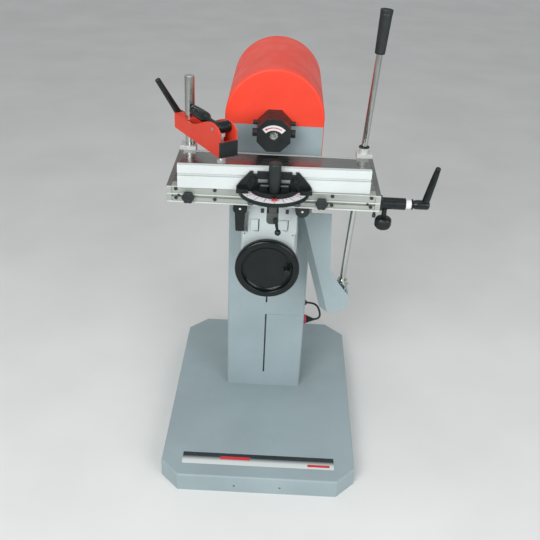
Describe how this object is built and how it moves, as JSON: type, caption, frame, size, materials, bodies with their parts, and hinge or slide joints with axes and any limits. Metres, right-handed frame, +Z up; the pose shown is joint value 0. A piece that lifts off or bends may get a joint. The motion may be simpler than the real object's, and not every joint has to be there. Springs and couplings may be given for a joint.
{
  "type": "slot mortiser",
  "caption": "Floor-standing slot mortiser: grey column and base, red motor hood, cross-slide table with fence, cam clamp, handwheel and joystick lever.",
  "frame": {"origin": "centre of the base's underside, on the floor", "axes": "+Z up, the handwheel and fence face -Y, the joystick is on the +X side"},
  "size_m": [0.6893, 0.815, 1.2484],
  "materials": {
    "grey_paint": "satin",
    "grey_casting": "painted",
    "red_paint": "satin",
    "red_plastic": "gloss",
    "black_plastic": "satin",
    "black_paint": "satin",
    "aluminium": "anodised",
    "steel": "ground",
    "chrome": "polished",
    "dial_casting": "painted",
    "iron": "raw",
    "brass": "machined",
    "cable": "matte"
  },
  "bodies": {
    "base": {"base_tray": "grey_paint", "column_shell": "grey_paint", "column_ways": "steel", "lift_nut": "brass", "head_frame": "grey_paint", "hood": "red_paint", "hood_grille": "grey_paint", "motor_housing": "iron", "stator": "iron", "bearing_rings": "steel", "chuck_guard": "black_plastic", "switch_box": "black_plastic", "cord_gland": "black_plastic", "power_cord": "cable", "plug": "red_plastic"},
    "spindle": {"spindle_shaft": "steel", "rotor_core": "iron", "fan": "black_plastic", "chuck_body": "steel"},
    "jaw_left": {"chuck_jaw_left": "steel"},
    "jaw_right": {"chuck_jaw_right": "steel"},
    "switch": {"switch_knob": "red_plastic"},
    "wheel": {"handwheel": "black_plastic", "wheel_shaft": "steel"},
    "spin_grip": {"wheel_grip": "black_plastic"},
    "knee": {"knee_body": "grey_casting", "keeper_plates": "steel", "cross_way": "grey_casting", "lever_arm": "grey_paint"},
    "screw": {"lift_screw": "steel"},
    "carriage": {"cross_carriage": "grey_casting"},
    "lock_left": {"lock_lever": "black_paint"},
    "lock_right": {"lock_knob": "black_plastic"},
    "table": {"table_top": "steel", "front_rail": "aluminium", "end_plates": "aluminium", "x_rods": "steel", "post_block": "aluminium", "guide_block": "aluminium", "rail_bolts": "black_paint", "stop_holder": "black_paint", "gauge_bracket": "dial_casting"},
    "fence_group": {"fence": "aluminium", "swing_bracket": "black_paint"},
    "handle": {"gauge_handle": "black_plastic"},
    "ball": {"ball_lever": "black_paint"},
    "star_left": {"star_knob_left": "black_plastic"},
    "star_right": {"star_knob_right": "black_plastic"},
    "stop": {"stop_rod": "chrome"},
    "stop_clamp": {"stop_lever": "black_plastic"},
    "stop_screw": {"stop_knob": "black_plastic"},
    "post": {"clamp_post": "chrome"},
    "arm": {"clamp_arm": "red_paint", "arm_cap": "black_plastic"},
    "arm_lock": {"clamp_lock_lever": "black_plastic"},
    "cam": {"cam_lever": "black_plastic"},
    "foot": {"clamp_foot": "steel"},
    "cross": {"lever_cross": "steel"},
    "joystick": {"lever_rod": "chrome", "lever_grip": "black_plastic"}
  },
  "joints": [
    {"name": "knee_lift", "type": "slide", "parent": "base", "child": "knee", "axis": [0, 0, 1], "range_m": [-0.095, 0.007]},
    {"name": "handwheel_turn", "type": "hinge", "parent": "knee", "child": "wheel", "pos_m": [0, -0.232, 0.6435], "axis": [0, -1, 0], "range_deg": [-6845, 1445]},
    {"name": "grip_spin", "type": "hinge", "parent": "wheel", "child": "spin_grip", "pos_m": [0.05, -0.24, 0.646], "axis": [0, 1, 0], "continuous": true},
    {"name": "screw_turn", "type": "hinge", "parent": "knee", "child": "screw", "pos_m": [0, -0.06, 0.6], "axis": [0, 0, 1], "range_deg": [-6845, 1445]},
    {"name": "cross_slide", "type": "slide", "parent": "knee", "child": "carriage", "axis": [0, 1, 0], "range_m": [-0.01, 0.05]},
    {"name": "table_slide", "type": "slide", "parent": "carriage", "child": "table", "axis": [1, 0, 0], "range_m": [-0.06, 0.045]},
    {"name": "cross_tilt", "type": "hinge", "parent": "knee", "child": "cross", "pos_m": [0.21355, -0.031, 0.48], "axis": [1, 0, 0], "range_deg": [-7.1, 1.5]},
    {"name": "joystick_tilt", "type": "hinge", "parent": "cross", "child": "joystick", "pos_m": [0.21355, -0.031, 0.48], "axis": [0, 1, 0], "range_deg": [-8.5, 6.4]},
    {"name": "spindle_spin", "type": "hinge", "parent": "base", "child": "spindle", "pos_m": [0, 0, 0.9304], "axis": [0, 1, 0], "continuous": true},
    {"name": "jaw_left_slide", "type": "slide", "parent": "spindle", "child": "jaw_left", "axis": [1, 0, 0], "range_m": [-0.003, 0.005]},
    {"name": "jaw_right_slide", "type": "slide", "parent": "spindle", "child": "jaw_right", "axis": [1, 0, 0], "range_m": [-0.005, 0.003]},
    {"name": "switch_turn", "type": "hinge", "parent": "base", "child": "switch", "pos_m": [-0.06, 0.42, 0.905], "axis": [0, 1, 0], "range_deg": [0, 90]},
    {"name": "lock_lever_turn", "type": "hinge", "parent": "carriage", "child": "lock_left", "pos_m": [-0.072, -0.22, 0.806], "axis": [0, 1, 0], "range_deg": [-90, 45]},
    {"name": "lock_knob_turn", "type": "hinge", "parent": "carriage", "child": "lock_right", "pos_m": [0.0795, -0.22, 0.806], "axis": [0, 1, 0], "range_deg": [-180, 180]},
    {"name": "fence_swing", "type": "hinge", "parent": "table", "child": "fence_group", "pos_m": [0.008, -0.264, 0.88], "axis": [0, 0, 1], "range_deg": [-10, 28]},
    {"name": "gauge_handle_turn", "type": "hinge", "parent": "fence_group", "child": "handle", "pos_m": [0.0091, -0.29398, 0.9], "axis": [0, 0, 1], "range_deg": [-90, 90]},
    {"name": "ball_lever_turn", "type": "hinge", "parent": "table", "child": "ball", "pos_m": [0.016, -0.304, 0.818], "axis": [0, 1, 0], "range_deg": [-60, 60]},
    {"name": "star_left_turn", "type": "hinge", "parent": "table", "child": "star_left", "pos_m": [-0.191, -0.28, 0.8545], "axis": [0, 1, 0], "range_deg": [-180, 180]},
    {"name": "star_right_turn", "type": "hinge", "parent": "table", "child": "star_right", "pos_m": [0.121, -0.28, 0.8545], "axis": [0, 1, 0], "range_deg": [-180, 180]},
    {"name": "stop_slide", "type": "slide", "parent": "table", "child": "stop", "axis": [1, 0, 0], "range_m": [0, 0.025]},
    {"name": "stop_lever_turn", "type": "hinge", "parent": "stop", "child": "stop_clamp", "pos_m": [0.35, -0.262, 0.855], "axis": [1, 0, 0], "range_deg": [-60, 60]},
    {"name": "stop_knob_turn", "type": "hinge", "parent": "table", "child": "stop_screw", "pos_m": [0.2715, -0.262, 0.8], "axis": [0, 0, 1], "range_deg": [-180, 180]},
    {"name": "clamp_swing", "type": "hinge", "parent": "table", "child": "post", "pos_m": [-0.216, -0.029, 0.95], "axis": [0, 0, -1], "range_deg": [0, 35]},
    {"name": "clamp_height", "type": "slide", "parent": "post", "child": "arm", "axis": [0, 0, 1], "range_m": [-0.014, 0.06]},
    {"name": "clamp_lock_turn", "type": "hinge", "parent": "arm", "child": "arm_lock", "pos_m": [-0.24284, 0.01079, 0.954], "axis": [-0.5592, 0.829, 0], "range_deg": [-40, 40]},
    {"name": "cam_turn", "type": "hinge", "parent": "arm", "child": "cam", "pos_m": [-0.12373, -0.16579, 0.986], "axis": [0.829, 0.5592, 0], "range_deg": [0, 90]},
    {"name": "foot_press", "type": "slide", "parent": "arm", "child": "foot", "axis": [0, 0, -1], "range_m": [-0.0001, 0.0047]}
  ],
  "couplings": [
    {"joint": "handwheel_turn", "follows": "knee_lift", "rad_per_m": 1256.6},
    {"joint": "screw_turn", "follows": "knee_lift", "rad_per_m": 1256.6},
    {"joint": "cross_tilt", "follows": "cross_slide", "rad_per_m": -2.3746},
    {"joint": "joystick_tilt", "follows": "table_slide", "rad_per_m": 2.3685},
    {"joint": "jaw_right_slide", "follows": "jaw_left_slide", "ratio": -1},
    {"joint": "foot_press", "follows": "cam_turn", "m_per_rad": 0.002928}
  ]
}
